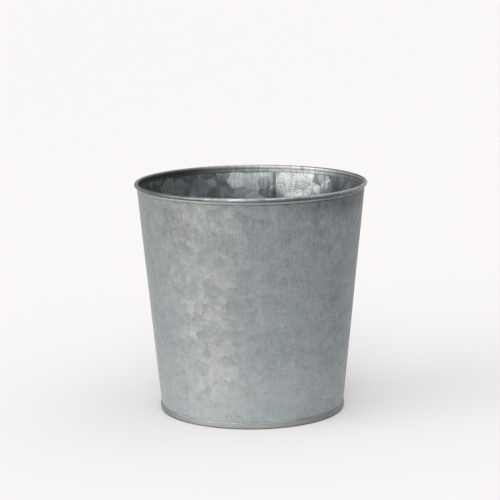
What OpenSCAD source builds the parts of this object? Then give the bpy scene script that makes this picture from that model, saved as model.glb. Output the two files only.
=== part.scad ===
// Tapered florist bucket, folded from two pieces of thin galvanised sheet.
// Z is up, the floor is z = 0, the bucket's axis is x = y = 0 and the side seam is at the back, +Y.

/* [Overall size] */
// Outside diameter over the rolled rim
rim_d = 150; // [136:1:200]
// Height from the floor to the top of the rim
bucket_h = 149; // [100:1:220]
// Outside diameter over the foot band
base_d = 120.4; // [90:0.1:130]

/* [Sheet metal] */
// Thickness of the galvanised sheet
sheet_t = 0.4; // [0.3:0.05:0.45]
// Room between the folded layers of the side seam
fold_gap = 0.12; // [0.08:0.02:0.2]
// Room between the wall's lower edge and the base pan's channel
channel_gap = 0.25; // [0.15:0.05:0.35]
// Width of the slit where the blank's ends butt, above and below the side seam
butt_gap = 0.25; // [0.1:0.05:0.5]

/* [Rim] */
// Diameter over the rolled curl
curl_d = 2.4; // [2.2:0.1:3]
// How far the neck under the curl is drawn in from the line of the wall
neck_in = 0.5; // [0.3:0.05:0.6]
// Depth of the bead's crest below the top of the rim
bead_depth = 3.2; // [3.1:0.1:5]
// Height of the bead
bead_h = 2.6; // [2:0.1:3]
// How far the bead stands out of the wall
bead_out = 0.35; // [0.1:0.05:0.45]

/* [Side seam] */
// Overlap of the two hooked edges
lock_w = 2.3; // [1.5:0.1:5]
// Slope of the step from the top of the seam down to the wall, in degrees
step_angle = 35; // [25:1:50]

/* [Foot] */
// Height of the foot band
band_h = 4.2; // [3.4:0.1:7]
// Height of the base disc's underside above the floor
recess_h = 3.6; // [2.8:0.1:6]

/* [Hidden] */

$fn = 120;
turn_steps = 12;      // straight pieces in each folded bend
bead_steps = 24;      // straight pieces in the bead and neck
seal_clear = 0.02;    // sealer and compound stop this far short of the metal
merge = 0.4;          // overlap where a seam edge runs into the wall
beyond = 5;           // how far a cutting shape runs past what it cuts

wall_colour = [0.62, 0.65, 0.67];
pan_colour = [0.58, 0.61, 0.63];
sealer_colour = [0.78, 0.77, 0.74];

// Rim: the curl is a tube whose innermost side stands directly over the neck.
curl_r = curl_d / 2;
curl_mid_r = curl_r - sheet_t / 2;
curl_z = bucket_h - curl_r;
curl_centre_r = rim_d / 2 - curl_r;
curl_start = 180;     // the curl leaves the neck here, seen in section, and rolls over the top and out
curl_end = -105;      // the sheet's edge, tucked under the curl
neck_r = curl_centre_r - curl_mid_r;
bead_z = bucket_h - bead_depth;

// Wall: the middle of the sheet lies on a cone from the foot band's top edge to the height of the curl.
wall_top_r = neck_r + neck_in;
wall_foot_r = base_d / 2 - 1.5 * sheet_t - channel_gap;
wall_slope = (wall_top_r - wall_foot_r) / (curl_z - band_h);
wall_lean = atan(wall_slope);
wall_edge_z = sheet_t + channel_gap;

// Base pan
fold_r = sheet_t;               // middle radius of the channel's two lower bends
shoulder_r = 2 * sheet_t;       // middle radius of the bend from the channel into the disc
disc_z = recess_h + sheet_t / 2;
leg_offset = sheet_t + channel_gap;
fillet_w = 1.6;                 // how far the compound reaches over the disc
fillet_h = 0.7;                 // how far the compound reaches up the wall

// Side seam: four layers, one pitch apart, counted from the outside.
layer_pitch = sheet_t + fold_gap;
hook_x = lock_w / 2;
step_r = 2 * layer_pitch;       // middle radius of the bend over the outer hook
toe_r = 2 * sheet_t;            // middle radius of the bend where the step meets the wall
seam_foot_z = recess_h + sheet_t + fillet_h + 0.1;
seam_top_z = bead_z - bead_h / 2 - 0.4;
seam_len = (seam_top_z - seam_foot_z) / cos(wall_lean);

function smooth(x) = x <= 0 ? 0 : x >= 1 ? 1 : x * x * (3 - 2 * x);
function unit(v) = v / norm(v);
function left_of(v) = [-v.y, v.x];

// Points along an arc, from angle a to angle b
function arc(centre, r, a, b, steps) =
    [for (i = [0:steps]) centre + r * [cos(a + (b - a) * i / steps), sin(a + (b - a) * i / steps)]];

// A path moved sideways to its left, and the outline of a strip of thickness t whose middle follows a path
function normal_at(path, i) = left_of(unit(path[min(i + 1, len(path) - 1)] - path[max(i - 1, 0)]));
function beside(path, gap) = [for (i = [0:len(path) - 1]) path[i] + normal_at(path, i) * gap];
function backwards(path) = [for (i = [len(path) - 1:-1:0]) path[i]];
function strip(path, t) = concat(beside(path, t / 2), backwards(beside(path, -t / 2)));

// Radius of the middle of the wall's sheet: the plain cone, and the cone with its bead and neck
function wall_r(z) = wall_top_r - (curl_z - z) * wall_slope;
function bead_rise(z) = abs(z - bead_z) < bead_h / 2 ? bead_out * pow(cos(180 * (z - bead_z) / bead_h), 2) : 0;
function neck_share(z) = smooth((z - bead_z) / (curl_z - bead_z));
function rim_r(z) = wall_r(z) + (neck_r - wall_r(z)) * neck_share(z) + bead_rise(z);

bead_foot_z = bead_z - bead_h / 2;
wall_path = concat(
    [[wall_r(wall_edge_z), wall_edge_z]],
    [for (i = [0:bead_steps]) let (z = bead_foot_z + (curl_z - bead_foot_z) * i / bead_steps) [rim_r(z), z]]
);

// Middle of the base pan's sheet, from the top of the foot band, round the channel and in to the axis
leg_bottom_z = sheet_t / 2 + fold_r;
outer_leg_r = wall_r(leg_bottom_z) + leg_offset;
inner_leg_r = wall_r(leg_bottom_z) - leg_offset;
shoulder_z = disc_z - shoulder_r;
shoulder_leg_r = wall_r(shoulder_z) - leg_offset;
pan_path = concat(
    [[wall_r(band_h) + leg_offset, band_h]],
    arc([outer_leg_r - fold_r, leg_bottom_z], fold_r, 0, -90, turn_steps),
    arc([inner_leg_r + fold_r, leg_bottom_z], fold_r, -90, -180, turn_steps),
    arc([shoulder_leg_r - shoulder_r, shoulder_z], shoulder_r, 0, 90, turn_steps),
    [[0, disc_z]]
);

// Middle of the compound in the channel, round the wall's lower edge
film_t = channel_gap - 2 * seal_clear;
film_offset = (sheet_t + channel_gap) / 2;
film_fold_r = channel_gap / 2 + seal_clear;
film_bottom_z = wall_edge_z - channel_gap / 2;
film_path = concat(
    [[wall_r(band_h) + film_offset, band_h - sheet_t / 2]],
    arc([wall_r(wall_edge_z) + film_offset - film_fold_r, film_bottom_z + film_fold_r], film_fold_r, 0, -90, 4),
    arc([wall_r(wall_edge_z) - film_offset + film_fold_r, film_bottom_z + film_fold_r], film_fold_r, -90, -180, 4),
    [[wall_r(shoulder_z) - film_offset, shoulder_z]]
);

// The whole compound: the film, and the fillet it ends in, over the base pan's shoulder and up the wall
fillet_low_r = shoulder_r + sheet_t / 2 + seal_clear;
fillet_low_z = shoulder_z + fillet_low_r;
fillet_wall_r = wall_r(fillet_low_z) - sheet_t / 2 - seal_clear;
arc_step = 90 / turn_steps;
compound_outline = concat(
    beside(film_path, film_t / 2),
    arc([shoulder_leg_r - shoulder_r, shoulder_z], fillet_low_r, arc_step, 90, turn_steps - 1),
    [for (i = [turn_steps:-1:0])
        let (s = i / turn_steps)
        [fillet_wall_r - fillet_w * s, fillet_low_z + fillet_h * pow(1 - s, 2)]],
    backwards(beside(film_path, -film_t / 2))
);

// Depths of the middles of the seam's four layers below the outside of the wall
function layer_y(i) = -sheet_t / 2 - i * layer_pitch;

// The left edge of the blank: along the outside, round and back between the other edge's layers
left_hook_path = concat(
    [[-hook_x - layer_pitch - sheet_t - merge, layer_y(0)]],
    arc([hook_x, layer_y(1)], layer_pitch, 90, -90, turn_steps),
    [[-hook_x, layer_y(2)]]
);

// The right edge: up the step, over the hook, round and back between the left edge's layers
step_end = 90 - step_angle;
step_top = [hook_x, layer_y(1)] + step_r * [cos(-step_end), sin(-step_end)];
toe_y = layer_y(0) - toe_r * (1 - cos(step_angle));
toe_x = step_top.x + (toe_y - step_top.y) / tan(step_angle) + toe_r * sin(step_angle);
right_hook_path = concat(
    [[toe_x + merge, layer_y(0)]],
    arc([toe_x, layer_y(0) - toe_r], toe_r, 90, 90 + step_angle, turn_steps),
    arc([hook_x, layer_y(1)], step_r, -step_end, -90, turn_steps),
    arc([-hook_x, layer_y(2)], layer_pitch, -90, -270, turn_steps),
    [[hook_x, layer_y(1)]]
);

// Sealer between the layers: out along the first gap, round the ends of the hooks and out over the last
seal_path = concat(
    [[-hook_x, layer_y(0.5)]],
    arc([hook_x, layer_y(1)], layer_pitch / 2, 90, -90, turn_steps),
    arc([-hook_x, layer_y(2)], layer_pitch / 2, 90, 270, turn_steps),
    arc([hook_x, layer_y(1)], 1.5 * layer_pitch, -90, -step_end, turn_steps)
);

// Places something at the foot of the seam, with its z running up the slope of the wall
module on_seam() {
    translate([0, wall_r(seam_foot_z) + sheet_t / 2, seam_foot_z]) rotate([-wall_lean, 0, 0]) children();
}

module curl_section() {
    translate([curl_centre_r, curl_z]) intersection() {
        difference() {
            circle(d = curl_d);
            circle(d = curl_d - 2 * sheet_t);
        }
        polygon(concat([[0, 0]], arc([0, 0], curl_d, curl_end, curl_start, turn_steps)));
    }
}

module butt_slit() {
    translate([-butt_gap / 2, 0, -beyond]) cube([butt_gap, rim_d, bucket_h + 2 * beyond]);
}

module seam_slot() {
    slot_x = -hook_x - layer_pitch - sheet_t;
    on_seam() translate([slot_x, -beyond, 0]) cube([toe_x - slot_x, 2 * beyond, seam_len]);
}

module body_wall() {
    color(wall_colour) {
        difference() {
            rotate_extrude() {
                polygon(strip(wall_path, sheet_t));
                curl_section();
            }
            butt_slit();
            seam_slot();
        }
        on_seam() linear_extrude(seam_len) {
            polygon(strip(left_hook_path, sheet_t));
            polygon(strip(right_hook_path, sheet_t));
        }
    }
}

module base_pan() {
    color(pan_colour) rotate_extrude() polygon(strip(pan_path, sheet_t));
}

module side_seam_sealant() {
    color(sealer_colour) on_seam() linear_extrude(seam_len) polygon(strip(seal_path, fold_gap - 2 * seal_clear));
}

module base_seam_compound() {
    color(sealer_colour) rotate_extrude() polygon(compound_outline);
}

body_wall();
base_pan();
side_seam_sealant();
base_seam_compound();
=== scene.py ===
import math

import bmesh
import bpy
import numpy as np
from mathutils import Matrix, Vector


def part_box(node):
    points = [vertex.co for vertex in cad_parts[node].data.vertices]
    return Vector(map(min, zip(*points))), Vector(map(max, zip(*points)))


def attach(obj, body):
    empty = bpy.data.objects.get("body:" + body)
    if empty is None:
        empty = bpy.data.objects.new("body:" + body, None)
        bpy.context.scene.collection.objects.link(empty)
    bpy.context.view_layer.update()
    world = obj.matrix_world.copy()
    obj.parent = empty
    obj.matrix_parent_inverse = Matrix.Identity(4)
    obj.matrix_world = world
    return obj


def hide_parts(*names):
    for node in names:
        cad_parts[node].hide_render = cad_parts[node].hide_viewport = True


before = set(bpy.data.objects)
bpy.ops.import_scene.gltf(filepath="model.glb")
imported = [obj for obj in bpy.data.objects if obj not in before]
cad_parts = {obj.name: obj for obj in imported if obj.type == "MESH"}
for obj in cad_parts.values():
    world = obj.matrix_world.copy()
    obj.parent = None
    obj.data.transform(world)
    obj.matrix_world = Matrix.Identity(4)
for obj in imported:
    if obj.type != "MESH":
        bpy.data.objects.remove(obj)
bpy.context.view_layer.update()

# ---------------------------------------------------------------------------------------------
# Sizes, in millimetres. The outer ones come from the frame, the sheet's folds repeat the design.
# ---------------------------------------------------------------------------------------------
MM = 0.001


def nearest_tenth(metres):
    """A size of the frame in millimetres, without the mesh's rounding."""
    return round(metres / MM, 1)


RIM_R = nearest_tenth(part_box("body_wall")[1].x)
BUCKET_H = nearest_tenth(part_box("body_wall")[1].z)
FOOT_R = nearest_tenth(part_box("base_pan")[1].x)
BAND_H = nearest_tenth(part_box("base_pan")[1].z)

SHEET = 0.4           # thickness of the sheet
FOLD_GAP = 0.12       # room between the seam's folded layers
CHANNEL_GAP = 0.25    # room between the wall's lower edge and the pan's channel
BUTT_GAP = 0.06       # width of the slit where the blank's ends meet
NOTCH = 0.08          # height of the short rows of faces where the seam starts and stops
CURL_R = 1.2          # outer radius of the rolled rim's section
NECK_IN = 0.5         # how far the neck under the curl is drawn in
BEAD_DEPTH = 3.2      # depth of the bead's crest below the rim
BEAD_H = 2.6          # height of the bead
BEAD_OUT = 0.35       # how far the bead stands out
LOCK_W = 2.3          # overlap of the two hooked edges
STEP_ANGLE = math.radians(35)
RECESS = 3.6          # height of the base disc's underside
LIP_H = 1.2           # height of the foot band's inward lip
PINCH = 0.18          # how far that lip is drawn in
FILLET_W = 1.6        # how far the compound reaches over the disc
FILLET_H = 0.7        # how far the compound reaches up the wall
FILM_DROP = 1.3       # how far the compound stops below the foot band's edge
CLEAR = 0.02          # the sealers stop this far short of the metal

CURL_Z = BUCKET_H - CURL_R
CURL_CENTRE_R = RIM_R - CURL_R
CURL_MID_R = CURL_R - SHEET / 2
CURL_END = math.radians(-105)
NECK_R = CURL_CENTRE_R - CURL_MID_R
BEAD_Z = BUCKET_H - BEAD_DEPTH
BEAD_FOOT_Z = BEAD_Z - BEAD_H / 2
WALL_TOP_R = NECK_R + NECK_IN
WALL_FOOT_R = FOOT_R - 1.5 * SHEET - CHANNEL_GAP
WALL_SLOPE = (WALL_TOP_R - WALL_FOOT_R) / (CURL_Z - BAND_H)
WALL_EDGE_Z = SHEET + CHANNEL_GAP
PITCH = SHEET + FOLD_GAP
HOOK_X = LOCK_W / 2
SEAM_FOOT_Z = RECESS + SHEET + FILLET_H + 0.1
SEAM_TOP_Z = BEAD_FOOT_Z - 0.4

MEAN_R = (WALL_TOP_R + WALL_FOOT_R) / 2
BLANK_W = 2 * math.pi * MEAN_R
LEAN = math.atan(WALL_SLOPE)

RIM_DROP = 0.5        # how much lower the rim lies on its low side
LOW_SIDE = math.radians(-100)
WAVE = 0.05           # size of the wall's broad waves
DENT = 0.012          # size of the rim's small dents
DENTS_IN = 0.12       # how far the dents are drawn in, so that none stands out

COLUMNS = 340         # faces round the bucket
WALL_ROW = 2.3        # height of the wall's rows of faces
PATH_STEP = 0.5       # longest piece of the seam's folded paths
CREASE = 50           # edges sharper than this many degrees stay sharp
WELD = 1e-6           # points closer than this, in metres, become one


def smooth(x):
    x = np.clip(x, 0, 1)
    return x * x * (3 - 2 * x)


def wall_r(z):
    """Radius of the middle of the wall's sheet, as a plain cone."""
    return WALL_TOP_R - (CURL_Z - z) * WALL_SLOPE


def rim_r(z):
    """The same with the bead, and the neck that leads into the curl."""
    share = smooth((z - BEAD_Z) / (CURL_Z - BEAD_Z))
    wave = BEAD_OUT * np.cos(np.pi * (z - BEAD_Z) / BEAD_H) ** 2
    rise = np.where(np.abs(z - BEAD_Z) < BEAD_H / 2, wave, 0)
    return wall_r(z) + (NECK_R - wall_r(z)) * share + rise


def arc(centre, radius, start, end, steps):
    """Points along an arc, angles in radians."""
    a = np.linspace(start, end, steps + 1)
    return np.column_stack([centre[0] + radius * np.cos(a), centre[1] + radius * np.sin(a)])


# ---------------------------------------------------------------------------------------------
# How far hand-made sheet strays from the true shape
# ---------------------------------------------------------------------------------------------
rng = np.random.default_rng(41)
WAVES = [(turns, height, rng.uniform(0, 2 * np.pi), rng.uniform(0.4, 1))
         for turns in (2, 3, 5, 7, 11, 16) for height in (60, 110, 190)]


def relief(angle, z):
    """Radial waviness of the wall. It dies out at the foot, and near the rim only pulls inwards."""
    total = np.zeros(np.broadcast(angle, z).shape)
    for turns, height, phase, size in WAVES:
        around = np.sin(turns * angle + phase)
        total = total + size / turns * around * np.cos(2 * np.pi * z / height + 2 * phase)
    total = total * WAVE
    dents = sum(np.sin(turns * angle + turns ** 2) for turns in (23, 37, 52, 71)) * DENT
    return total * smooth((z - 12) / 40) + (dents - DENTS_IN) * smooth((z - 120) / 20)


def settle(angle, z):
    """The wall leans a little, so that its rim is lower on one side."""
    return z - RIM_DROP / 2 * (1 + np.cos(angle - LOW_SIDE)) * (z / BUCKET_H) ** 2


# ---------------------------------------------------------------------------------------------
# Mesh tools
# ---------------------------------------------------------------------------------------------
def ring_points(profile, angles):
    """A grid of points: a row for each (radius, z) of a profile, a column for each angle from the seam."""
    r, z = profile[:, 0][:, None], profile[:, 1][:, None]
    a = angles[None, :] if angles.ndim == 1 else angles
    r = r + relief(a, z)
    return np.stack([r * np.sin(a), r * np.cos(a), settle(a, z)], axis=-1)


def grid_quads(rows, columns, first=0):
    i = np.arange(rows - 1)[:, None] * columns
    j = np.arange(columns - 1)[None, :]
    a = first + i + j
    return np.stack([a, a + 1, a + columns + 1, a + columns], axis=-1).reshape(-1, 4)


def make_object(name, grids, materials, merge=0.0, closed=False):
    """One object from grids of points in millimetres, each with its coordinates on the flat blank."""
    points, blank, faces, first = [], [], [], 0
    for grid in grids:
        p = grid["points"]
        rows, columns = p.shape[:2]
        points.append(p.reshape(-1, 3))
        blank.append(grid["blank"].reshape(-1, 2))
        quads = grid_quads(rows, columns, first)
        faces.append(quads if grid.get("flip") else quads[:, ::-1])
        first += rows * columns
    points, blank, faces = np.concatenate(points) * MM, np.concatenate(blank) * MM, np.concatenate(faces)
    mesh = bpy.data.meshes.new(name)
    mesh.from_pydata(points.tolist(), [], faces.tolist())
    layer = mesh.uv_layers.new(name="blank")
    layer.data.foreach_set("uv", blank[faces.reshape(-1)].astype(np.float32).reshape(-1))
    for material in materials:
        mesh.materials.append(material)
    ob = bpy.data.objects.new(name, mesh)
    bpy.context.scene.collection.objects.link(ob)
    if merge:
        bm = bmesh.new()
        bm.from_mesh(mesh)
        bmesh.ops.remove_doubles(bm, verts=bm.verts, dist=merge)
        if closed:
            bmesh.ops.recalc_face_normals(bm, faces=bm.faces)
        bm.to_mesh(mesh)
        bm.free()
    return ob


def apply_modifiers(ob):
    bpy.context.view_layer.update()
    mesh = bpy.data.meshes.new_from_object(ob.evaluated_get(bpy.context.evaluated_depsgraph_get()))
    ob.modifiers.clear()
    ob.data = mesh
    mesh.name = ob.name


def shade(ob, crease_degrees):
    ob.data.polygons.foreach_set("use_smooth", [True] * len(ob.data.polygons))
    ob.data.set_sharp_from_angle(angle=math.radians(crease_degrees))


# ---------------------------------------------------------------------------------------------
# The wall: one sheet, rolled at the top, its ends hooked together at the back
# ---------------------------------------------------------------------------------------------
def layer_depth(i):
    """Depth of the middle of the seam's layer i below the wall's outside."""
    return SHEET / 2 + i * PITCH


def seam_paths():
    """The two hooked edges in plan, as (sideways, depth of the sheet's middle), from the wall outwards."""
    left = np.concatenate([
        [[-HOOK_X - PITCH - SHEET, layer_depth(0)]],
        arc((HOOK_X, layer_depth(1)), PITCH, -np.pi / 2, np.pi / 2, 14),
        [[-HOOK_X, layer_depth(2)]],
    ])
    lean = np.pi / 2 - STEP_ANGLE
    top = np.array([HOOK_X, layer_depth(1)]) + 2 * PITCH * np.array([np.cos(lean), np.sin(lean)])
    toe_r = 2 * SHEET
    toe_depth = layer_depth(0) + toe_r * (1 - np.cos(STEP_ANGLE))
    toe_x = top[0] + (top[1] - toe_depth) / np.tan(STEP_ANGLE) + toe_r * np.sin(STEP_ANGLE)
    right = np.concatenate([
        arc((toe_x, layer_depth(0) + toe_r), toe_r, -np.pi / 2, -np.pi / 2 - STEP_ANGLE, 6),
        arc((HOOK_X, layer_depth(1)), 2 * PITCH, lean, np.pi / 2, 6),
        arc((-HOOK_X, layer_depth(2)), PITCH, np.pi / 2, 3 * np.pi / 2, 14),
        [[HOOK_X, layer_depth(1)]],
    ])
    return left, right


def subdivide(path, step):
    """The same path with its long pieces cut up."""
    out = [path[0]]
    for a, b in zip(path, path[1:]):
        n = max(1, int(np.ceil(np.linalg.norm(b - a) / step)))
        out += [a + (b - a) * k / n for k in range(1, n + 1)]
    return np.array(out)


def lengths(path):
    return np.concatenate([[0], np.cumsum(np.linalg.norm(np.diff(path, axis=0), axis=1))])


def build_wall(outside, inside):
    z_low = np.linspace(WALL_EDGE_Z, SEAM_FOOT_Z - NOTCH, 4)
    z_wall = np.linspace(SEAM_FOOT_Z, BEAD_FOOT_Z - NOTCH, int((SEAM_TOP_Z - SEAM_FOOT_Z) / WALL_ROW))
    z_neck = np.linspace(BEAD_FOOT_Z, CURL_Z, 27)
    z = np.concatenate([z_low, z_wall, z_neck])
    curl = arc((CURL_CENTRE_R, CURL_Z), CURL_MID_R, np.pi, CURL_END, 30)[1:]
    profile = np.concatenate([np.column_stack([rim_r(z), z]), curl])
    run = lengths(profile)
    rows = len(profile)
    seam_rows = np.arange(len(z_low), len(z_low) + len(z_wall))
    low_rows = np.arange(0, len(z_low))
    top_rows = np.arange(len(z_low) + len(z_wall), rows)

    left_path, right_path = seam_paths()
    right_x, left_x = right_path[0, 0], -left_path[0, 0]
    radius = profile[:, 0]
    start, end = right_x / radius, 2 * np.pi - left_x / radius
    share = np.linspace(0, 1, COLUMNS + 1)
    angles = start[:, None] + (end - start)[:, None] * share[None, :]

    def blank(row_ids, around):
        """Where a point lies on the flat blank: along its width, and up its height."""
        return np.stack([np.broadcast_to(around, (len(row_ids), around.shape[-1])),
                         np.broadcast_to(run[row_ids][:, None], (len(row_ids), around.shape[-1]))], axis=-1)

    def part(row_ids, a, around):
        return {"points": ring_points(profile[row_ids], a), "blank": blank(row_ids, around)}

    everything = np.arange(rows)
    grids = [part(everything, angles, (share * BLANK_W)[None, :])]

    # Above and below the seam the two ends simply meet.
    for row_ids in (low_rows, top_rows):
        for edge, side in ((start, 1), (end, -1)):
            butt = side * BUTT_GAP / 2 / radius + (0 if side > 0 else 2 * np.pi)
            steps = np.linspace(0, 1, 9)
            a = edge[:, None] + (butt - edge)[:, None] * steps[None, :]
            reach = abs(right_x if side > 0 else left_x)
            around = -steps * reach if side > 0 else BLANK_W + steps * reach
            made = part(row_ids, a[row_ids], around[None, :])
            made["flip"] = side > 0
            grids.append(made)

    # The hooked edges, which keep their width all the way up
    for path, origin, side in ((right_path, 0, 1), (left_path, BLANK_W, -1)):
        path = subdivide(path, PATH_STEP)
        far = lengths(path)
        r0 = radius[seam_rows][:, None]
        depth = path[:, 1][None, :] - SHEET / 2
        a = path[:, 0][None, :] / r0
        flat = np.broadcast_to(r0, a.shape) - depth
        zz = np.broadcast_to(profile[seam_rows, 1][:, None], a.shape)
        flat = flat + relief(a % (2 * np.pi), zz)
        points = np.stack([flat * np.sin(a), flat * np.cos(a), settle(a, zz)], axis=-1)
        around = origin - side * far
        grids.append({"points": points, "blank": blank(seam_rows, around[None, :]), "flip": side > 0})

    ob = make_object("wall_sheet", grids, (outside, inside), merge=WELD)
    solid = ob.modifiers.new("thickness", "SOLIDIFY")
    solid.thickness = SHEET * MM
    solid.offset = 0
    solid.use_even_offset = True
    solid.use_rim = True
    solid.material_offset = 1
    solid.material_offset_rim = 1
    apply_modifiers(ob)
    shade(ob, CREASE)
    return ob


# ---------------------------------------------------------------------------------------------
# Rings: the base pan and the compound, whose outlines are closed and turned round the axis
# ---------------------------------------------------------------------------------------------
def normals_of(path):
    ahead = np.vstack([path[1:], path[-1:]])
    behind = np.vstack([path[:1], path[:-1]])
    t = ahead - behind
    t = t / np.linalg.norm(t, axis=1)[:, None]
    return np.column_stack([-t[:, 1], t[:, 0]])


def round_end(point, normal, t, steps=6):
    """A half circle that closes a strip's end, from its left side to its right."""
    forward = np.array([normal[1], -normal[0]])
    a = np.linspace(np.pi / 2, -np.pi / 2, steps + 1)[1:-1]
    return np.array([point + t / 2 * (np.sin(k) * normal + np.cos(k) * forward) for k in a])


def pan_middle():
    fold_r, shoulder_r = SHEET, 2 * SHEET
    disc_z = RECESS + SHEET / 2
    offset = SHEET + CHANNEL_GAP
    bottom_z = SHEET / 2 + fold_r
    outer, inner = wall_r(bottom_z) + offset, wall_r(bottom_z) - offset
    shoulder_z = disc_z - shoulder_r
    shoulder_leg = wall_r(shoulder_z) - offset
    lip = [wall_r(BAND_H) + offset - PINCH, BAND_H - SHEET / 2]
    bend = [wall_r(BAND_H - LIP_H) + offset, BAND_H - LIP_H]
    path = np.concatenate([
        subdivide(np.array([lip, bend, [outer, bottom_z]]), 0.4),
        arc((outer - fold_r, bottom_z), fold_r, 0, -np.pi / 2, 8)[1:],
        arc((inner + fold_r, bottom_z), fold_r, -np.pi / 2, -np.pi, 8),
        arc((shoulder_leg - shoulder_r, shoulder_z), shoulder_r, 0, np.pi / 2, 8),
    ])
    disc = np.linspace(path[-1, 0], 0, 14)[1:]
    return np.concatenate([path, np.column_stack([disc, np.full(len(disc), disc_z)])])


def turned(name, outline, angles, material, change=None):
    """A closed outline turned right round the axis. change(points, angles) may move the grid of points."""
    a = angles[None, :]
    shape = (len(outline), len(angles))
    r = np.broadcast_to(outline[:, 0][:, None], shape)
    z = np.broadcast_to(outline[:, 1][:, None], shape)
    if change:
        r, z = change(r, z, a)
    r = np.maximum(r, 0)
    points = np.stack([r * np.sin(a), r * np.cos(a), z], axis=-1)
    run = np.broadcast_to(lengths(outline)[:, None], r.shape)
    blank = np.stack([np.broadcast_to(a * WALL_FOOT_R, r.shape), run], axis=-1)
    return make_object(name, [{"points": points, "blank": blank}], (material,), merge=WELD, closed=True)


TURN = np.linspace(0, 2 * np.pi, COLUMNS + 1)


def build_pan(material):
    path = pan_middle()
    n = normals_of(path)
    n[-1] = [0, -1]
    side = [path + n * SHEET / 2, path - n * SHEET / 2]
    tip = round_end(path[0], n[0], SHEET)
    tip = 2 * path[0] - tip[::-1]
    outline = np.concatenate([side[0][::-1], tip[::-1], side[1]])
    phases = rng.uniform(0, 2 * np.pi, 6)

    def waver(r, z, a):
        """The band's top edge was pressed down by rollers, so it isn't quite level."""
        lift = sum(np.sin((3 + 4 * k) * a + p) / (1 + k) for k, p in enumerate(phases))
        edge = smooth((z - 1.5) / 2.5) * smooth((r - WALL_FOOT_R + 0.2) / 0.3)
        return r, z - 0.07 * edge * (1 + 0.5 * lift)

    ob = turned("base_pan_sheet", outline, TURN, material, waver)
    shade(ob, CREASE)
    return ob


def build_compound(material):
    fold = CHANNEL_GAP / 2 + CLEAR
    offset = (SHEET + CHANNEL_GAP) / 2
    bottom_z = WALL_EDGE_Z - CHANNEL_GAP / 2
    shoulder_r = 2 * SHEET
    shoulder_z = RECESS + SHEET / 2 - shoulder_r
    film = np.concatenate([
        [[wall_r(BAND_H - FILM_DROP) + offset, BAND_H - FILM_DROP]],
        arc((wall_r(WALL_EDGE_Z) + offset - fold, bottom_z + fold), fold, 0, -np.pi / 2, 4),
        arc((wall_r(WALL_EDGE_Z) - offset + fold, bottom_z + fold), fold, -np.pi / 2, -np.pi, 4),
        [[wall_r(shoulder_z) - offset, shoulder_z]],
    ])
    n = normals_of(film)
    t = CHANNEL_GAP - 2 * CLEAR
    low_r = shoulder_r + SHEET / 2 + CLEAR
    low_z = shoulder_z + low_r
    leg = wall_r(shoulder_z) - SHEET - CHANNEL_GAP
    top_r = wall_r(low_z) - SHEET / 2 - CLEAR
    s = np.linspace(1, 0, 13)
    outline = np.concatenate([
        film + n * t / 2,
        arc((leg - shoulder_r, shoulder_z), low_r, np.pi / 24, np.pi / 2, 11),
        np.column_stack([top_r - FILLET_W * s, low_z + FILLET_H * (1 - s) ** 2]),
        (film - n * t / 2)[::-1],
    ])
    outline = np.vstack([outline, outline[:1]])
    phases = rng.uniform(0, 2 * np.pi, 8)

    def smear(r, z, a):
        """The fillet was run in by hand, so its inner edge wanders."""
        wander = sum(np.sin((5 + 7 * k) * a + p) for k, p in enumerate(phases)) / 8
        inside = smooth((low_z + 0.6 - z) / 0.6) * smooth((leg - r) / 1.0)
        return r + 0.25 * wander * inside, z

    ob = turned("base_compound_ring", outline, TURN, material, smear)
    shade(ob, CREASE)
    return ob


def build_sealant(material):
    path = np.concatenate([
        [[-HOOK_X, layer_depth(0.5)]],
        arc((HOOK_X, layer_depth(1)), PITCH / 2, -np.pi / 2, np.pi / 2, 10),
        arc((-HOOK_X, layer_depth(2)), PITCH / 2, -np.pi / 2, -3 * np.pi / 2, 10),
        arc((HOOK_X, layer_depth(1)), 1.5 * PITCH, np.pi / 2, np.pi / 2 - STEP_ANGLE, 6),
    ])
    path = subdivide(path, PATH_STEP)
    z = np.linspace(SEAM_FOOT_Z, SEAM_TOP_Z, int((SEAM_TOP_Z - SEAM_FOOT_Z) / WALL_ROW))
    r0 = wall_r(z)[:, None]
    a = path[:, 0][None, :] / r0
    zz = np.broadcast_to(z[:, None], a.shape)
    r = r0 - (path[:, 1][None, :] - SHEET / 2) + relief(a % (2 * np.pi), zz)
    points = np.stack([r * np.sin(a), r * np.cos(a), settle(a, zz)], axis=-1)
    blank = np.stack([np.broadcast_to(lengths(path)[None, :], a.shape), zz], axis=-1)
    ob = make_object("side_seam_sealer", [{"points": points, "blank": blank}], (material,))
    solid = ob.modifiers.new("thickness", "SOLIDIFY")
    solid.thickness = (FOLD_GAP - 2 * CLEAR) * MM
    solid.offset = 0
    apply_modifiers(ob)
    shade(ob, CREASE)
    return ob


# ---------------------------------------------------------------------------------------------
# Materials
# ---------------------------------------------------------------------------------------------
def across_blank(degrees):
    """Where a direction round the bucket, in degrees from the seam, lies on the wall's flat blank."""
    return degrees / 360 * BLANK_W * MM


def up_blank(z):
    """Where a height in millimetres lies on the blank."""
    return (z - WALL_EDGE_Z) / math.cos(LEAN) * MM


# Where things lie round the bucket, in degrees from the seam towards +X
FLAKY_SIDE = 192      # the front, a little towards the window: the flakes show best there
SHADE_SIDE = 110      # turned away from the window

# Colours of the zinc
SHADED_SIDE_GREY = (0.268, 0.304, 0.321)
LIT_SIDE_GREY = (0.288, 0.310, 0.319)
CLOUD_GREY = (0.318, 0.332, 0.337)
WARM_FLAKE = (0.350, 0.363, 0.347)
SPECK_GREY = (0.10, 0.105, 0.105)
BEIGE = (0.38, 0.375, 0.345)
GROOVE_SHADE = (0.07, 0.075, 0.08)
DULL_CRYSTAL = (0.20, 0.225, 0.235)
PLAIN_CRYSTAL = (0.33, 0.36, 0.37)
BRIGHT_CRYSTAL = (0.64, 0.69, 0.70)
FROST = (0.48, 0.49, 0.47)
DUST_AND_SHEEN_GREY = (0.80, 0.81, 0.80)


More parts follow.
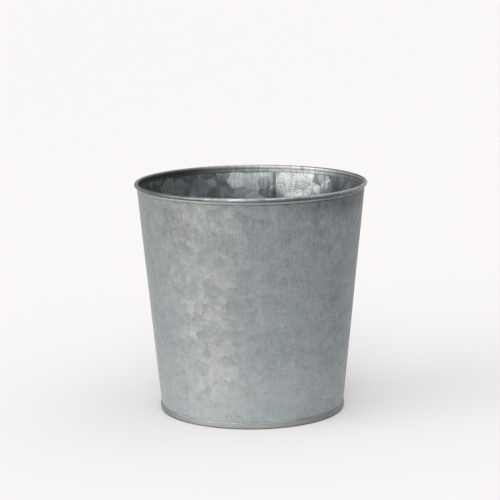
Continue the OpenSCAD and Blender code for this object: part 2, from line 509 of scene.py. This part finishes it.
class Paint:
    """Builds the nodes of one material. Patterns are laid out on the flat blank, in metres."""

    def __init__(self, name, uv="blank"):
        self.material = bpy.data.materials.new(name)
        self.material.use_nodes = True
        self.tree = self.material.node_tree
        self.shader = self.tree.nodes["Principled BSDF"]
        if uv:
            node = self.tree.nodes.new("ShaderNodeUVMap")
            node.uv_map = uv
            self.where = node.outputs[0]

    def node(self, kind, inputs, out=0, **settings):
        node = self.tree.nodes.new("ShaderNode" + kind)
        for key, value in settings.items():
            setattr(node, key, value)
        for key, value in inputs.items():
            if isinstance(value, bpy.types.NodeSocket):
                self.tree.links.new(value, node.inputs[key])
            else:
                node.inputs[key].default_value = value
        return node.outputs[out] if out is not None else node

    def math(self, operation, a, b=0.0, c=0.0):
        return self.node("Math", {0: a, 1: b, 2: c}, operation=operation)

    def add(self, a, b):
        return self.math("ADD", a, b)

    def less(self, a, b):
        return self.math("SUBTRACT", a, b)

    def times(self, a, b):
        return self.math("MULTIPLY", a, b)

    def stretch(self, sizes, turn=0.0):
        """The blank's coordinates, counted in features of the given width and height in millimetres."""
        scale = (1 / (sizes[0] * MM), 1 / (sizes[1] * MM), 1)
        return self.node("Mapping", {"Vector": self.where, "Scale": scale, "Rotation": (0, 0, turn),
                                     "Location": (17.3 + turn, 5.1, 0)})

    def noise(self, sizes, detail=2, roughness=0.5, distortion=0.0, out=0):
        return self.node("TexNoise", {"Vector": self.stretch(sizes), "Scale": 1, "Detail": detail,
                                      "Roughness": roughness, "Distortion": distortion}, out=out)

    def bent(self, size, warp, seed):
        """The blank's coordinates counted in crystals of a given size in millimetres, shaken by noise."""
        fine = self.stretch((size * 0.6, size * 0.6))
        push = self.node("TexNoise", {"Vector": fine, "Scale": 1, "Detail": 3}, out=1)
        push = self.node("VectorMath", {0: push, 1: (0.5, 0.5, 0.5)}, operation="SUBTRACT")
        base = self.node("VectorMath", {0: self.where, 1: (1 / (size * MM),) * 3, 2: (seed, seed, 0)},
                         operation="MULTIPLY_ADD")
        reach = (warp * 2, warp * 2, 0)
        return self.node("VectorMath", {0: push, 1: reach, 2: base}, operation="MULTIPLY_ADD")

    def borders(self, size, warp=0.4, seed=0.0):
        """1 on the fine lines between the crystals, 0 inside them."""
        off = self.node("TexVoronoi", {"Vector": self.bent(size, warp, seed), "Scale": 1},
                        feature="DISTANCE_TO_EDGE", voronoi_dimensions="2D")
        return self.ramp(off, 0.10, 0.0)

    def cells(self, size, warp=0.4, seed=0.0, feature="F1", softness=0.3):
        """Crystals of a given size in millimetres, with crooked borders: their random colour, the distance
        from their middle, their middle's place on the blank, and how far above it a point lies."""
        bent = self.bent(size, warp, seed)
        inputs = {"Vector": bent, "Scale": 1}
        if feature == "SMOOTH_F1":
            inputs["Smoothness"] = softness
        made = self.node("TexVoronoi", inputs, out=None, feature=feature, voronoi_dimensions="2D").outputs
        middle = self.node("VectorMath", {0: made["Position"], 1: (seed, seed, 0)}, operation="SUBTRACT")
        middle = self.node("VectorMath", {0: middle, 1: (size * MM,) * 3}, operation="MULTIPLY")
        above = self.node("VectorMath", {0: bent, 1: made["Position"]}, operation="SUBTRACT")
        return made["Color"], made["Distance"], middle, self.split(above)[1]

    def ramp(self, value, low, high, to_low=0.0, to_high=1.0):
        """A soft step from one value to another."""
        return self.node("MapRange", {"Value": value, "From Min": low, "From Max": high, "To Min": to_low,
                                      "To Max": to_high}, interpolation_type="SMOOTHSTEP")

    def by_side(self, start, end, to_low=0.0, to_high=1.0):
        """A soft step from one direction round the bucket to another, in degrees from the seam."""
        return self.ramp(self.u, across_blank(start), across_blank(end), to_low, to_high)

    def by_height(self, start, end, to_low=0.0, to_high=1.0):
        """A soft step from one height of the wall to another, in millimetres."""
        return self.ramp(self.v, up_blank(start), up_blank(end), to_low, to_high)

    def blend(self, share, a, b, kind="MIX"):
        node = self.node("Mix", {}, out=None, data_type="RGBA", blend_type=kind)
        for socket, value in ((node.inputs[0], share), (node.inputs[6], a), (node.inputs[7], b)):
            if isinstance(value, bpy.types.NodeSocket):
                self.tree.links.new(value, socket)
            else:
                socket.default_value = (*value, 1) if isinstance(value, tuple) else value
        return node.outputs[2]

    def split(self, vector):
        return self.node("SeparateXYZ", {0: vector}, out=None).outputs

    def spot(self, where, centre, reach):
        """1 at a point of the blank, falling to 0 at the edge of an ellipse. Sizes in metres."""
        off = self.node("VectorMath", {0: where, 1: (*centre, 0)}, operation="SUBTRACT")
        off = self.node("VectorMath", {0: off, 1: (1 / reach[0], 1 / reach[1], 0)}, operation="MULTIPLY")
        length = self.node("VectorMath", {0: off}, out=1, operation="LENGTH")
        return self.ramp(length, 1, 0)

    def bump(self, height, depth, strength=1.0, normal=None):
        """depth: metres of relief for a height of 1"""
        inputs = {"Height": height, "Distance": depth, "Strength": strength}
        if normal is not None:
            inputs["Normal"] = normal
        return self.node("Bump", inputs)

    def tilt(self, colour, amount):
        """The surface's normal, tipped by a random colour."""
        off = self.node("VectorMath", {0: colour, 1: (0.5, 0.5, 0.5)}, operation="SUBTRACT")
        normal = self.node("NewGeometry", {}, out=1)
        reach = (amount, amount, amount)
        tipped = self.node("VectorMath", {0: off, 1: reach, 2: normal}, operation="MULTIPLY_ADD")
        return self.node("VectorMath", {0: tipped}, operation="NORMALIZE")

    def finish(self, **sockets):
        for key, value in sockets.items():
            socket = self.shader.inputs[key.replace("_", " ")]
            if isinstance(value, bpy.types.NodeSocket):
                self.tree.links.new(value, socket)
            else:
                socket.default_value = (*value, 1) if isinstance(value, tuple) else value
        return self.material


def grey(p, value):
    """A grey from one number."""
    return p.node("CombineXYZ", {0: value, 1: value, 2: value})


def speckled(p, amounts, base=1.0):
    """Brightness round 1 from several patterns, each with how strongly it counts."""
    total = base
    for pattern, amount in amounts:
        total = p.add(total, p.times(p.less(pattern, 0.5), amount))
    return total


def band(p, low, high, soft=0.25):
    """1 between two heights of the wall, in millimetres."""
    rise = p.by_height(low - soft, low + soft)
    return p.times(rise, p.by_height(high + soft, high - soft))


def outside_zones(p, clouds, mottle):
    """Where the warm flakes are painted, partly as painted light: at the front, a little towards the
    window, where its light brings them out. Also a narrower middle where they are palest.
    """
    aside = p.math("ABSOLUTE", p.less(p.u, across_blank(FLAKY_SIDE)))
    aside = p.add(aside, p.times(p.less(mottle, 0.5), 0.016))
    low_down = p.by_height(4, 34, 0.35, 1.0)
    zone = p.times(p.ramp(aside, 0.056, 0.012), p.ramp(clouds, 0.2, 0.55, 0.45, 1.0))
    return p.times(zone, low_down), p.times(p.ramp(aside, 0.026, 0.012), low_down)


def outside_rim_shade(p, fine_streaks):
    """Painted shade that hangs from the rim, broken into streaks, mostly on the side turned away from the
    window.
    """
    rim_shade = p.by_height(BEAD_FOOT_Z - 16, BEAD_FOOT_Z)
    rim_shade = p.times(rim_shade, p.ramp(fine_streaks, 0.2, 0.8, 0.4, 1.3))
    return p.times(rim_shade, p.by_side(190, 115, 0.10, 1.4))


def outside_specks(p, colour):
    tint, from_middle, _, _ = p.cells(8, 0.1, 4.4)
    speck = p.times(p.ramp(from_middle, 0.075, 0.035), p.ramp(p.split(tint)[0], 0.92, 0.95))
    return p.blend(p.times(speck, 0.6), colour, SPECK_GREY)


def outside_rim(p, colour, clouds):
    """A beige bead, partly worn metal and partly a painted highlight, between two grooves of painted shade,
    and the burnished curl. Also where the curl is.
    """
    wear = p.ramp(p.noise((3, 1.2), detail=4, roughness=0.7), 0.35, 0.65)
    # The bead's crest: a painted highlight, partly beige worn metal
    bead = band(p, BEAD_Z - 0.7, BEAD_Z + 0.6)
    bead = p.times(bead, p.add(0.25, p.times(wear, 0.35)))
    bead = p.times(bead, p.ramp(clouds, 0.3, 0.6, 0.5, 1.3))
    colour = p.blend(bead, colour, BEIGE)
    # Painted shade in the grooves above and below the bead, deeper on the side turned away from the window,
    # broken up by wear
    lower_groove = band(p, BEAD_FOOT_Z - 0.3, BEAD_FOOT_Z + 0.3)
    lower_groove = p.times(lower_groove, p.by_side(205, SHADE_SIDE, 0.3, 2.0))
    groove = p.math("MAXIMUM", lower_groove, band(p, BEAD_Z + 1.1, BEAD_Z + 1.6))
    groove_darkness = p.math("MINIMUM", p.times(groove, p.add(0.40, p.times(wear, 0.3))), 1)
    colour = p.blend(groove_darkness, colour, GROOVE_SHADE)
    rolled = p.by_height(BEAD_Z + 1.6, BEAD_Z + 2.1)
    curl = p.blend(wear, (0.36, 0.375, 0.41), (0.47, 0.48, 0.51))
    return p.blend(rolled, colour, curl), rolled


def zinc_outside():
    p = Paint("zinc_outside")
    p.u, p.v, _ = p.split(p.where)
    clouds = p.noise((34, 46), detail=4, roughness=0.55)
    mottle = p.noise((5.5, 6.5), detail=4, roughness=0.7)
    fine_streaks = p.noise((1.0, 13), detail=3, roughness=0.7)
    broad_streaks = p.noise((5.5, 70), detail=4, roughness=0.6)
    crinkle = p.noise((2.8, 2.3), detail=3, roughness=0.6, distortion=0.6)
    blotches = p.noise((15, 11), detail=3, roughness=0.6)
    grain = p.noise((1.0, 1.1), detail=3, roughness=0.8)

    big_flakes, small_flakes = (7, 0.32, 0), (3.8, 0.32, 31.7)
    tint_big, from_middle, _, above_big = p.cells(*big_flakes, "SMOOTH_F1", 0.16)
    tint_small, _, _, above_small = p.cells(*small_flakes, "SMOOTH_F1", 0.16)
    lines = p.math("MAXIMUM", p.borders(*big_flakes), p.times(p.borders(*small_flakes), 0.6))
    value = p.add(p.times(p.split(tint_big)[0], 0.55), p.times(p.split(tint_small)[1], 0.45))
    crystal_shading = p.add(p.times(above_big, 0.6), p.times(above_small, 0.4))
    zone, palest_flakes = outside_zones(p, clouds, mottle)
    plain = p.add(0.35, p.times(zone, 0.65))

    # Painted light: the zinc is coloured lighter on the side turned towards the window, darker on the other
    lit_side = p.by_side(150, 200)
    colour = p.blend(lit_side, SHADED_SIDE_GREY, LIT_SIDE_GREY)
    colour = p.blend(p.ramp(clouds, 0.3, 0.7, 0, 0.5), colour, CLOUD_GREY)
    warm = p.add(p.times(zone, 0.30), p.times(palest_flakes, 0.55))
    warm = p.times(p.ramp(value, 0.25, 0.7, 0.45, 1.0), warm)
    colour = p.blend(warm, colour, WARM_FLAKE)

    rubbed = p.add(p.times(p.by_height(100, 138), 0.50), p.ramp(zone, 0.5, 0, 0.20, 0.46))
    shade = speckled(p, (
        (value, p.times(plain, 0.22)),
        (fine_streaks, rubbed),
        (broad_streaks, 0.20),
        (grain, 0.70),
        (crinkle, p.ramp(zone, 0.5, 0, 0.28, 0.44)),
        (mottle, 0.45),
        (clouds, 0.12),
        (blotches, p.ramp(lit_side, 0, 1, 0.40, 0.15)),
    ), 1.16)
    # Painted light and shade across each flake: lighter towards its lower edge, darker towards its upper
    # edge
    flake_shading_depth = p.times(plain, p.ramp(mottle, 0.3, 0.7, 0.02, 0.16))
    shade = p.less(shade, p.times(crystal_shading, flake_shading_depth))
    drawn = p.times(zone, p.ramp(clouds, 0.35, 0.65, 0.03, 0.14))
    shade = p.less(shade, p.times(lines, drawn))

    # Painted shade: darker towards the rim and away from the window. Darker also in one dull patch. Painted
    # light: lighter at the foot
    shade = p.less(shade, p.times(p.by_height(20, BEAD_FOOT_Z), 0.22))
    shade = p.less(shade, p.by_side(155, 105, 0, 0.20))
    dull = p.spot(p.where, (across_blank(210), up_blank(129)), (0.018, 0.030))
    shade = p.less(shade, p.times(dull, 0.15))
    shade = p.add(shade, p.by_height(55, 4, 0, 0.20))
    # Painted shade under the rim, in streaks
    shade = p.less(shade, p.times(outside_rim_shade(p, fine_streaks), 0.26))
    colour = p.blend(1.0, colour, grey(p, shade), "MULTIPLY")
    colour = outside_specks(p, colour)
    colour, rolled = outside_rim(p, colour, clouds)

    rough = p.add(0.40, p.times(broad_streaks, 0.16))
    rough = p.add(rough, p.times(grain, 0.08))
    rough = p.less(rough, p.times(rolled, 0.20))
    normal = p.tilt(tint_small, 0.06)
    height = p.add(p.times(fine_streaks, 0.4), p.times(grain, 0.35))
    height = p.add(height, p.times(from_middle, -0.6))
    normal = p.bump(height, 0.00010, 1.0, normal)
    return p.finish(Base_Color=colour, Metallic=0.95, Roughness=rough, Normal=normal)


def bright_runs(p):
    """Three pale runs with ragged edges: direction, height, half width and half height of each."""
    wobble = p.noise((4, 4), detail=3, out=1)
    wobble = p.node("VectorMath", {0: wobble, 1: (0.5, 0.5, 0.5)}, operation="SUBTRACT")
    shaken = p.node("VectorMath", {0: wobble, 1: (0.006, 0.006, 0), 2: p.where}, operation="MULTIPLY_ADD")
    runs = None
    for degrees, height, wide, high in ((27.2, 141, 3.2, 7), (31.2, 140, 2.8, 7.5), (24.5, 135, 4.5, 5)):
        run = p.spot(shaken, (across_blank(degrees), up_blank(height)), (wide * MM, high * MM))
        runs = run if runs is None else p.math("MAXIMUM", runs, run)
    return p.ramp(runs, 0.1, 0.6)


def inside_seam(p, colour, below_bead):
    """The seam's flat top is polished, its step duller, and painted shade lies in the crevice along the
    fold.
    """
    seam_top = p.times(p.ramp(p.u, -6.6 * MM, -6.2 * MM), p.ramp(p.u, -3.0 * MM, -3.4 * MM))
    step = p.times(p.ramp(p.u, -3.2 * MM, -3.0 * MM), p.ramp(p.u, 0.4 * MM, 0))
    blank_end = BLANK_W * MM
    # Painted shade in the crevice along the fold
    fold_shade = p.ramp(p.u, blank_end - 0.8 * MM, blank_end - 0.2 * MM)
    fold_shade = p.times(fold_shade, p.ramp(p.u, -9 * MM, -8 * MM))
    polish = p.times(below_bead, p.by_height(130, 137, 0.08, 0.6))
    colour = p.blend(p.times(seam_top, polish), colour, (0.60, 0.62, 0.62))
    polish = p.add(polish, p.times(below_bead, 0.2))
    colour = p.blend(p.times(step, polish), colour, (0.64, 0.67, 0.67))
    return p.blend(p.times(p.times(fold_shade, below_bead), 0.25), colour, (0.12, 0.13, 0.13))


def inside_ledge(p, colour, above_bead, right, streaks):
    """The narrow ledge on top of the bead, with painted light and shade: lighter from the left to the
    middle, darker again on the far right, broken by streaks.
    """
    ledge_light = p.times(p.ramp(right, -0.055, 0.02, 0.20, 1.25), p.ramp(right, 0.03, 0.055, 1, 0.35))
    ledge_light = p.times(ledge_light, p.ramp(streaks, 0.3, 0.7, 0.75, 1.2))
    return p.blend(above_bead, colour, p.blend(1.0, (0.31, 0.33, 0.34), grey(p, ledge_light), "MULTIPLY"))


def inside_curl(p, right, back):
    """The burnished curl, with painted light and shade: brighter at the front's middle (a painted
    highlight) and on the right, darker under its front, its back part lit and shaded across too.
    """
    front = p.ramp(right, -0.055, 0.055, 0.44, 1.15)
    # Painted highlight at the front's middle
    front = p.add(front, p.ramp(p.math("ABSOLUTE", right), 0.024, 0.004, 0, 0.45))
    # Painted shade under the curl's front, stronger on the right
    under = p.ramp(p.v, up_blank(CURL_Z) + 2.7 * MM, up_blank(CURL_Z) + 3.7 * MM)
    under = p.times(under, p.ramp(right, 0.0, 0.04, 0.08, 0.66))
    front = p.times(front, p.less(1.0, under))
    # Painted light and shade across the curl's back part
    behind = p.times(p.ramp(right, -0.058, -0.015, 0.85, 1.4), p.ramp(right, 0.01, 0.045, 1, 0.32))
    curl = p.blend(p.ramp(back, -0.03, 0.03), grey(p, front), grey(p, behind))
    worn = p.ramp(p.noise((3, 1.2), detail=4, roughness=0.7), 0.35, 0.65)
    return p.blend(1.0, p.blend(worn, (0.266, 0.281, 0.304), (0.342, 0.357, 0.378)), curl, "MULTIPLY")


def zinc_inside():
    p = Paint("zinc_inside")
    p.u, p.v, _ = p.split(p.where)
    right, back, _ = p.split(p.node("TexCoord", {}, out=3))
    clouds = p.noise((26, 32), detail=4, roughness=0.6)
    streaks = p.noise((1.8, 30), detail=3, roughness=0.65)
    feathers = p.noise((2.4, 10), detail=4, roughness=0.65, distortion=0.5)
    grain = p.noise((1.0, 1.0), detail=2, roughness=0.75)
    sparks = p.noise((0.8, 0.8), detail=2)
    tint_big, _, place, above_big = p.cells(9, 0.36, 17.2, "SMOOTH_F1", 0.16)
    tint_small, _, _, above_small = p.cells(4.0, 0.38, 11.2, "SMOOTH_F1", 0.16)
    value = p.add(p.times(p.split(tint_big)[0], 0.55), p.times(p.split(tint_small)[0], 0.45))

    # Bright crystals under the rim on both sides of the seam, dull ones below them. Round one spot beside
    # the seam the bright crystals are partly a painted highlight
    below_bead = p.by_height(BEAD_FOOT_Z - 0.1, BEAD_FOOT_Z - 0.7)
    above_bead = p.less(1.0, below_bead)
    highlight_spot = p.spot(place, (across_blank(356), up_blank(145)), (0.048, 0.018))
    patches = p.times(p.ramp(p.add(p.times(highlight_spot, 0.9), p.times(value, 0.45)), 0.44, 0.53), below_bead)
    patches = p.times(patches, p.by_side(322, 345, 0.3, 1))
    frosted = p.spot(p.where, (across_blank(11), up_blank(138)), (0.020, 0.021))
    frosted = p.add(frosted, p.times(p.less(clouds, 0.5), 0.2))
    frosted = p.times(p.ramp(frosted, 0.12, 0.45), below_bead)
    runs = p.times(bright_runs(p), below_bead)

    colour = p.blend(p.ramp(value, 0.3, 0.65), DULL_CRYSTAL, PLAIN_CRYSTAL)
    # Painted shade on the inside, from about 24 to 37 degrees from the seam round to about 120 to 200
    far_side_shade = p.times(p.by_side(24, 37), p.by_side(200, 120))
    colour = p.blend(p.times(far_side_shade, 0.7), colour, (0.12, 0.135, 0.135))
    colour = p.blend(p.times(patches, 0.8), colour, BRIGHT_CRYSTAL)
    colour = p.blend(p.times(frosted, 0.85), colour, FROST)
    colour = p.blend(p.times(runs, 0.65), colour, (0.56, 0.58, 0.56))
    colour = inside_seam(p, colour, below_bead)
    colour = inside_ledge(p, colour, above_bead, right, streaks)

    # Pale dust on the overhang above the ledge, laid on unevenly across as painted light, and painted shade
    # where the bead starts
    dust_and_sheen = p.times(p.ramp(right, -0.065, 0.01, 0.22, 0.8), p.ramp(right, 0.03, 0.06, 1, 0.3))
    dust_and_sheen = p.times(band(p, BEAD_Z + 0.1, CURL_Z + 0.6), dust_and_sheen)
    colour = p.blend(dust_and_sheen, colour, DUST_AND_SHEEN_GREY)
    bead_foot_shade = band(p, BEAD_FOOT_Z - 0.4, BEAD_FOOT_Z + 0.45)
    colour = p.blend(p.times(bead_foot_shade, 0.55), colour, (0.13, 0.14, 0.14))

    # Painted shade: everything but the curl is darker away from the back, more so near the rim
    gloom = p.by_height(143, 130, 0.50, 0.76)
    painted_shade = p.ramp(p.u, across_blank(296), across_blank(335), gloom, 1)
    painted_shade = p.math("MAXIMUM", painted_shade, p.by_side(110, 70, 0.62, 1))
    colour = p.blend(1.0, colour, grey(p, painted_shade), "MULTIPLY")
    rolled = p.ramp(p.v, up_blank(CURL_Z) + 0.6 * MM, up_blank(CURL_Z) + 1.1 * MM)
    colour = p.blend(rolled, colour, inside_curl(p, right, back))

    shade = speckled(p, (
        (streaks, p.ramp(right, -0.01, -0.045, 0.5, 0.9)),
        (feathers, p.ramp(patches, 0, 1, 0.8, 1.7)),
        (grain, 0.5),
        (clouds, 0.4),
        (sparks, p.times(frosted, 2.0)),
    ))
    # Painted light and shade across each crystal: lighter above its middle, darker below it, stronger
    # higher up
    crystal_shading = p.add(p.times(above_big, 0.5), p.times(above_small, 0.25))
    shade = p.add(shade, p.times(crystal_shading, p.by_height(90, 125, 0.12, 0.55)))
    low_seam = p.times(p.ramp(p.u, 0.4 * MM, 0), p.by_height(137, 131))
    low_seam = p.times(low_seam, p.ramp(p.u, -7 * MM, -6 * MM))
    shade = p.less(shade, p.times(low_seam, 0.40))
    colour = p.blend(1.0, colour, grey(p, shade), "MULTIPLY")

    rough = p.add(0.36, p.times(grain, 0.12))
    rough = p.add(rough, p.times(above_bead, p.ramp(rolled, 0, 1, 0.12, -0.08)))
    metal = p.less(0.95, p.times(dust_and_sheen, p.times(p.less(1.0, rolled), 0.7)))
    normal = p.tilt(tint_big, 0.14)
    height = p.add(p.times(streaks, 0.7), p.times(grain, 0.5))
    height = p.add(height, p.times(frosted, p.times(sparks, 2.0)))
    normal = p.bump(height, 0.00008, 1.0, normal)
    return p.finish(Base_Color=colour, Metallic=metal, Roughness=rough, Normal=normal)


def zinc_pan():
    p = Paint("zinc_pan")
    clouds = p.noise((18, 12), detail=4, roughness=0.6)
    scuffs = p.noise((14, 0.7), detail=3, roughness=0.6)
    grain = p.noise((1.0, 1.0), detail=2, roughness=0.7)

    # The disc's crystals are laid out flat, the band is painted by height.
    p.where = p.node("TexCoord", {}, out=3)
    right, _, height = p.split(p.where)
    tint, _, _, _ = p.cells(8, 0.34, 5.0, "SMOOTH_F1", 0.14)
    lines = p.borders(8, 0.34, 5.0)
    flat = p.ramp(height, (RECESS - 0.1) * MM, RECESS * MM)
    flakes = p.times(p.less(p.split(tint)[0], 0.8), 0.30)
    flakes = p.times(p.less(flakes, p.times(lines, 0.05)), flat)
    colour = p.blend(p.ramp(clouds, 0.3, 0.7), (0.36, 0.38, 0.39), (0.43, 0.435, 0.42))
    # Painted shade: a dark line just under the band's lip
    under_lip = p.ramp(height, (BAND_H - 1.4) * MM, (BAND_H - 1.0) * MM, 0, 0.4)
    colour = p.blend(under_lip, colour, (0.20, 0.21, 0.21))
    # A light line along the band's top edge: a painted highlight, partly worn metal
    lip = p.ramp(height, (BAND_H - 0.7) * MM, (BAND_H - 0.35) * MM)
    colour = p.blend(lip, colour, (0.66, 0.67, 0.66))
    # Painted shadow: the band darkens at the bottom where it meets the floor
    foot_shade = p.ramp(height, 1.3 * MM, 0.3 * MM, 0, 0.6)
    colour = p.blend(foot_shade, colour, (0.06, 0.06, 0.06))
    shade = p.add(speckled(p, ((scuffs, 0.4), (grain, 0.5)), 1.0), flakes)
    # Painted shade: the pan is darker towards its sides, away from the middle in X
    shade = p.times(shade, p.ramp(p.math("ABSOLUTE", right), 0.018, 0.056, 1, 0.68))
    colour = p.blend(1.0, colour, grey(p, shade), "MULTIPLY")
    rough = p.add(0.42, p.times(clouds, 0.15))
    normal = p.bump(p.add(scuffs, grain), 0.00006)
    return p.finish(Base_Color=colour, Metallic=0.92, Roughness=rough, Normal=normal)


def putty(name, light, dark):
    p = Paint(name)
    lumps = p.noise((2.5, 1.6), detail=4, roughness=0.6)
    grain = p.noise((0.5, 0.5), detail=2)
    colour = p.blend(p.ramp(lumps, 0.3, 0.7), dark, light)
    rough = p.add(0.45, p.times(grain, 0.3))
    normal = p.bump(p.add(lumps, p.times(grain, 0.3)), 0.0002)
    return p.finish(Base_Color=colour, Metallic=0.0, Roughness=rough, Normal=normal)


wall = build_wall(zinc_outside(), zinc_inside())
pan = build_pan(zinc_pan())
compound = build_compound(putty("base_putty", (0.52, 0.50, 0.46), (0.36, 0.35, 0.32)))
sealer = build_sealant(putty("seam_putty", (0.55, 0.54, 0.50), (0.38, 0.37, 0.34)))
for ob, node, slot in (
    (wall, "body_wall", "galvanised_wall"),
    (pan, "base_pan", "galvanised_base"),
    (compound, "base_seam_compound", "seam_compound"),
    (sealer, "side_seam_sealant", "seam_sealer"),
):
    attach(ob, "root")
    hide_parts(node)

# ---------------------------------------------------------------------------------------------
# Studio
# ---------------------------------------------------------------------------------------------
scene = bpy.context.scene
scene.view_settings.view_transform = "Standard"
CAMERA_TURN = math.radians(11.05)
FLOOR_COLOUR = (0.775, 0.757, 0.752)
FLOOR_REACH = 30      # metres


def in_view(right, away, up=0.0):
    """A direction or place given as seen from the camera: to the right, away from it, and up."""
    c, s = math.cos(CAMERA_TURN), math.sin(CAMERA_TURN)
    return (right * c - away * s, right * s + away * c, up)


def build_floor():
    mesh = bpy.data.meshes.new("floor")
    corners = [(x * FLOOR_REACH, y * FLOOR_REACH, 0) for x, y in ((-1, -1), (1, -1), (1, 1), (-1, 1))]
    mesh.from_pydata(corners, [], [(0, 1, 2, 3)])
    ob = bpy.data.objects.new("floor", mesh)
    scene.collection.objects.link(ob)
    p = Paint("floor", None)
    look = p.finish(Base_Color=FLOOR_COLOUR, Roughness=0.75, Specular_IOR_Level=0.05)
    ob.data.materials.append(look)


def build_world():
    """A pale room: a broad window on the left, soft light from above, and a lit wall at the back."""
    world = bpy.data.worlds.new("studio")
    scene.world = world
    world.use_nodes = True
    tree = world.node_tree
    coordinates = tree.nodes.new("ShaderNodeTexCoord")
    total = None
    for direction, low, high, amount in SKY:
        dot = tree.nodes.new("ShaderNodeVectorMath")
        dot.operation = "DOT_PRODUCT"
        dot.inputs[1].default_value = Vector(direction).normalized()
        tree.links.new(coordinates.outputs["Generated"], dot.inputs[0])
        step = tree.nodes.new("ShaderNodeMapRange")
        step.interpolation_type = "SMOOTHSTEP"
        step.inputs["From Min"].default_value = low
        step.inputs["From Max"].default_value = high
        step.inputs["To Max"].default_value = amount
        tree.links.new(dot.outputs["Value"], step.inputs["Value"])
        plus = tree.nodes.new("ShaderNodeMath")
        tree.links.new(step.outputs[0], plus.inputs[0])
        plus.inputs[1].default_value = ROOM
        if total is not None:
            tree.links.new(total, plus.inputs[1])
        total = plus.outputs[0]
    tree.links.new(total, tree.nodes["Background"].inputs["Strength"])
    tree.nodes["Background"].inputs["Color"].default_value = (1, 1, 1, 1)


# Each light: its direction, the cosines where it starts and where it is full, and its strength
ROOM = 0.04
SKY = (
    (in_view(-0.88, -0.45, 0.04), 0.70, 0.97, 3.4),
    (in_view(-0.92, 0.30, 0.12), 0.50, 0.95, 0.7),
    (in_view(-0.08, -0.40, 0.90), 0.40, 0.95, 0.85),
    (in_view(-0.06, -0.82, 0.57), 0.96, 0.99, 4.6),
    (in_view(0.60, -0.10, 0.80), 0.60, 0.95, 0.55),
    (in_view(0, 1, 0.15), 0.20, 0.85, 0.32),
    (in_view(0.55, 0.70, 0.60), 0.40, 0.95, 0.45),
    (in_view(0.15, -1, 0.10), 0.45, 0.95, 0.35),
)
build_floor()
build_world()


# The camera looks down on the bucket, and sees the seam a little right of the far side's middle.
CAMERA_SIDE = -0.0008
CAMERA_AWAY = 1.2218
CAMERA_UP = 0.3305
CAMERA_PITCH = math.radians(10.53)
CAMERA_ROLL = math.radians(-0.5)
LENS = 138.2

forward = Vector(in_view(0, math.cos(CAMERA_PITCH), -math.sin(CAMERA_PITCH)))
right = Vector(in_view(1, 0))
up = right.cross(forward)
camera_x = math.cos(CAMERA_ROLL) * right + math.sin(CAMERA_ROLL) * up
camera_y = -math.sin(CAMERA_ROLL) * right + math.cos(CAMERA_ROLL) * up
camera_data = bpy.data.cameras.new("camera")
camera_data.lens = LENS
camera_data.sensor_width = 36
camera_data.clip_start, camera_data.clip_end = 0.05, 100
camera = bpy.data.objects.new("camera", camera_data)
place = in_view(CAMERA_SIDE, -CAMERA_AWAY, CAMERA_UP)
camera.matrix_world = Matrix((
    (camera_x.x, camera_y.x, -forward.x, place[0]),
    (camera_x.y, camera_y.y, -forward.y, place[1]),
    (camera_x.z, camera_y.z, -forward.z, place[2]),
    (0, 0, 0, 1),
))
scene.collection.objects.link(camera)
scene.camera = camera
